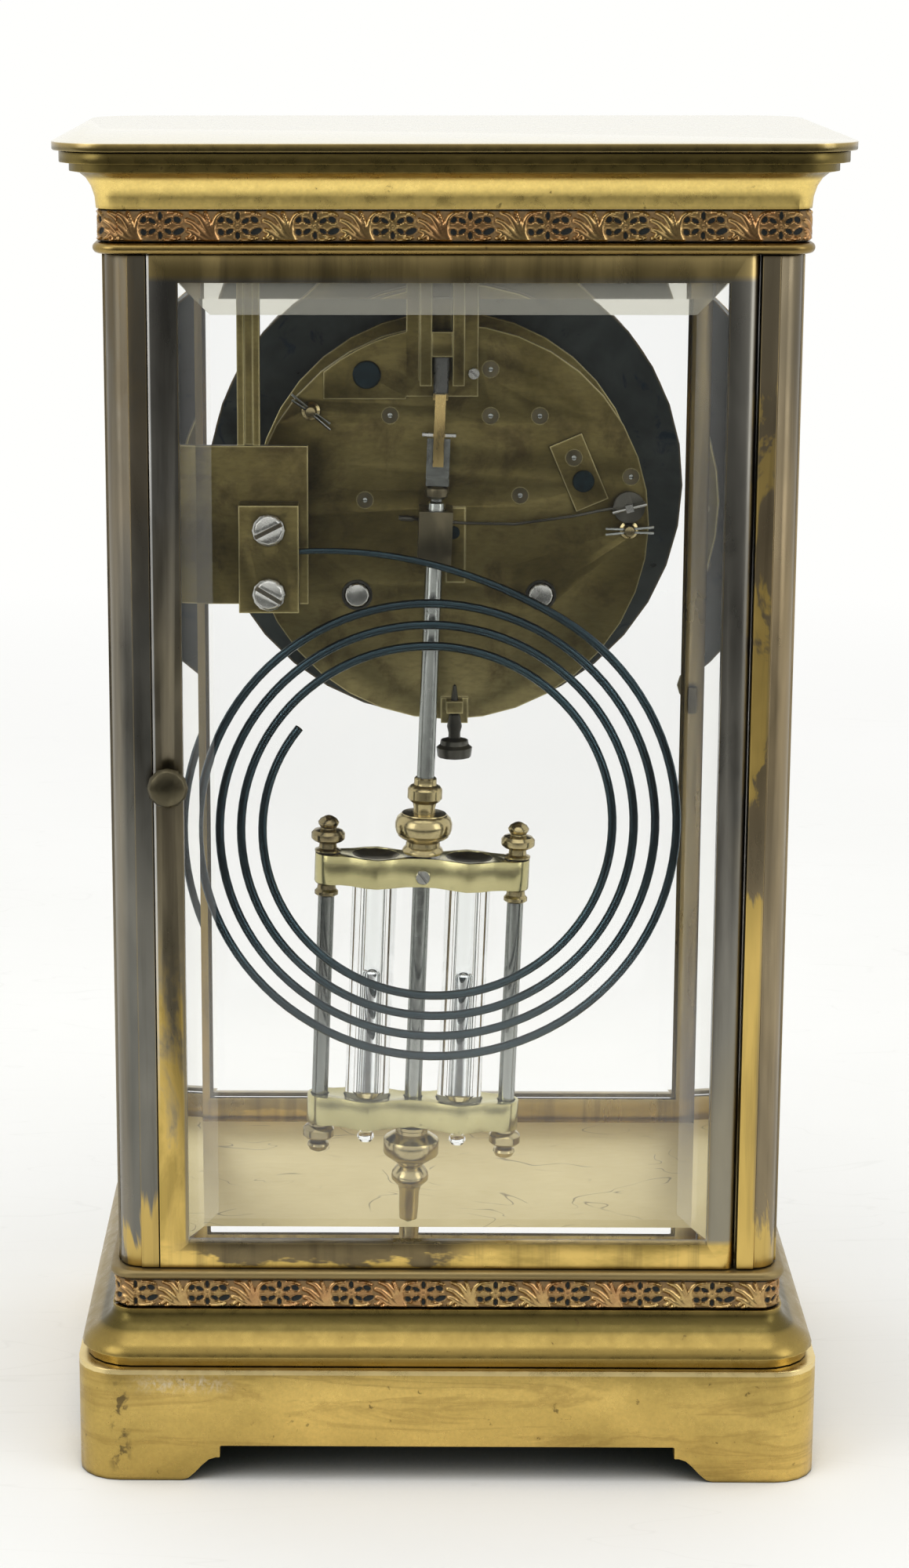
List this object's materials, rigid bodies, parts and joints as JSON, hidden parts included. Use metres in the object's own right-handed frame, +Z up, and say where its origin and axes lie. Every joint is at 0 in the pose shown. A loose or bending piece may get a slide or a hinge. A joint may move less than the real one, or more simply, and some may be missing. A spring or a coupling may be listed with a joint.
{
  "type": "mantel clock",
  "caption": "Glazed brass mantel clock with moulded base and cornice, hinged doors, round movement, coil gong and mercury pendulum.",
  "frame": {"origin": "middle of the base where it stands on its feet", "axes": "+Z up; the dial faces -Y and the pendulum hangs towards +Y; +X is to the right of someone facing the dial"},
  "size_m": [0.173, 0.1306, 0.305],
  "materials": {
    "aged_brass": "aged, patchy tarnish",
    "dark_brass": "tarnished, worn at the edges",
    "plate_brass": "dull, brushed",
    "copper_frieze": "aged, reddish ornament",
    "steel": "satin",
    "dark_steel": "dark, dull",
    "blued_steel": "blued",
    "mercury": "mirror bright",
    "enamel": "gloss white enamel",
    "glass": "clear, bevelled"
  },
  "bodies": {
    "case": {"base_plinth": "aged_brass", "base_moulding": "aged_brass", "base_frieze": "copper_frieze", "floor_plate": "aged_brass", "front_left_post": "dark_brass", "front_right_post": "dark_brass", "rear_left_post": "dark_brass", "rear_right_post": "dark_brass", "top_plate": "aged_brass", "top_frieze": "copper_frieze", "cornice": "aged_brass", "top_slab": "aged_brass", "left_bottom_rail": "dark_brass", "left_top_rail": "dark_brass", "right_bottom_rail": "dark_brass", "right_top_rail": "dark_brass", "left_side_glass": "glass", "right_side_glass": "glass", "gong_bracket": "plate_brass", "gong_block": "plate_brass", "lower_gong_screw": "steel", "upper_gong_screw": "steel", "gong_coil": "blued_steel", "dial_pan": "dark_steel", "dial": "enamel", "bezel": "aged_brass", "front_plate": "plate_brass", "back_plate": "plate_brass", "suspension_bracket": "plate_brass", "pivot_cock": "plate_brass", "thumb_screw": "dark_steel"},
    "rear_door": {"rear_door_frame": "dark_brass", "rear_door_glass": "glass"},
    "rear_knob": {"rear_door_knob": "dark_brass"},
    "front_door": {"front_door_frame": "dark_brass", "front_door_glass": "glass"},
    "front_knob": {"front_door_knob": "dark_brass"},
    "pendulum": {"suspension_spring": "steel", "pendulum_rod": "steel", "upper_yoke": "aged_brass", "lower_yoke": "aged_brass", "left_side_rod": "steel", "right_side_rod": "steel", "left_vial": "glass", "right_vial": "glass", "left_mercury": "mercury", "right_mercury": "mercury"},
    "rating_nut": {"rating_nut": "aged_brass"},
    "crutch": {"crutch": "dark_steel"},
    "hammer": {"hammer": "steel"},
    "centre_arbor": {"centre_wheel": "plate_brass", "minute_hand": "blued_steel"},
    "hour_pipe": {"hour_hand": "blued_steel"},
    "intermediate_arbor": {"intermediate_wheel": "plate_brass"},
    "third_arbor": {"third_wheel": "plate_brass"},
    "escape_arbor": {"escape_wheel": "plate_brass"},
    "going_barrel": {"going_barrel": "plate_brass"},
    "strike_barrel": {"strike_barrel": "plate_brass"},
    "going_winding": {"going_winding_arbor": "steel"},
    "strike_winding": {"strike_winding_arbor": "steel"}
  },
  "joints": [
    {"name": "rear_door_hinge", "type": "hinge", "parent": "case", "child": "rear_door", "pos_m": [-0.0634, 0.0522, 0.1633], "axis": [0, 0, 1], "range_deg": [0, 95]},
    {"name": "rear_knob_turn", "type": "hinge", "parent": "rear_door", "child": "rear_knob", "pos_m": [0.06295, 0.055, 0.1633], "axis": [0, -1, 0], "range_deg": [0, 90]},
    {"name": "front_door_hinge", "type": "hinge", "parent": "case", "child": "front_door", "pos_m": [0.0634, -0.0522, 0.1633], "axis": [0, 0, 1], "range_deg": [0, 95]},
    {"name": "front_knob_turn", "type": "hinge", "parent": "front_door", "child": "front_knob", "pos_m": [-0.06295, -0.055, 0.1633], "axis": [0, 1, 0], "range_deg": [0, 90]},
    {"name": "pendulum_swing", "type": "hinge", "parent": "case", "child": "pendulum", "pos_m": [0.002, 0.03, 0.25615], "axis": [0, 1, 0], "range_deg": [-2.05, 5.95]},
    {"name": "rating_nut_turn", "type": "hinge", "parent": "pendulum", "child": "rating_nut", "pos_m": [0.0084, 0.03, 0.06826], "axis": [-0.034, 0, 0.9994], "continuous": true},
    {"name": "crutch_swing", "type": "hinge", "parent": "case", "child": "crutch", "pos_m": [0.002, 0.03, 0.25615], "axis": [0, 1, 0], "range_deg": [-2.05, 5.95]},
    {"name": "hammer_lift", "type": "hinge", "parent": "case", "child": "hammer", "pos_m": [-0.0409, 0.0215, 0.2211], "axis": [0, -1, 0], "range_deg": [0, 6]},
    {"name": "minute_turn", "type": "hinge", "parent": "case", "child": "centre_arbor", "pos_m": [0, 0, 0.2169], "axis": [0, 1, 0], "continuous": true},
    {"name": "hour_turn", "type": "hinge", "parent": "case", "child": "hour_pipe", "pos_m": [0, 0, 0.2169], "axis": [0, 1, 0], "continuous": true},
    {"name": "intermediate_turn", "type": "hinge", "parent": "case", "child": "intermediate_arbor", "pos_m": [0.0193, 0, 0.2225], "axis": [0, 1, 0], "continuous": true},
    {"name": "third_turn", "type": "hinge", "parent": "case", "child": "third_arbor", "pos_m": [-0.00729, 0, 0.23531], "axis": [0, 1, 0], "continuous": true},
    {"name": "escape_turn", "type": "hinge", "parent": "case", "child": "escape_arbor", "pos_m": [0.002, 0, 0.24565], "axis": [0, 1, 0], "continuous": true},
    {"name": "going_barrel_turn", "type": "hinge", "parent": "case", "child": "going_barrel", "pos_m": [0.0211, 0, 0.2005], "axis": [0, 1, 0], "continuous": true},
    {"name": "strike_barrel_turn", "type": "hinge", "parent": "case", "child": "strike_barrel", "pos_m": [-0.0211, 0, 0.2005], "axis": [0, 1, 0], "continuous": true},
    {"name": "going_winding_turn", "type": "hinge", "parent": "case", "child": "going_winding", "pos_m": [0.0211, 0, 0.2005], "axis": [0, 1, 0], "continuous": true},
    {"name": "strike_winding_turn", "type": "hinge", "parent": "case", "child": "strike_winding", "pos_m": [-0.0211, 0, 0.2005], "axis": [0, 1, 0], "continuous": true}
  ],
  "couplings": [
    {"joint": "crutch_swing", "follows": "pendulum_swing", "ratio": 1},
    {"joint": "hour_turn", "follows": "minute_turn", "ratio": 0.083333},
    {"joint": "intermediate_turn", "follows": "minute_turn", "ratio": -0.16667},
    {"joint": "third_turn", "follows": "minute_turn", "ratio": -7.5},
    {"joint": "escape_turn", "follows": "minute_turn", "ratio": 45},
    {"joint": "going_barrel_turn", "follows": "minute_turn", "ratio": 0.022222}
  ]
}
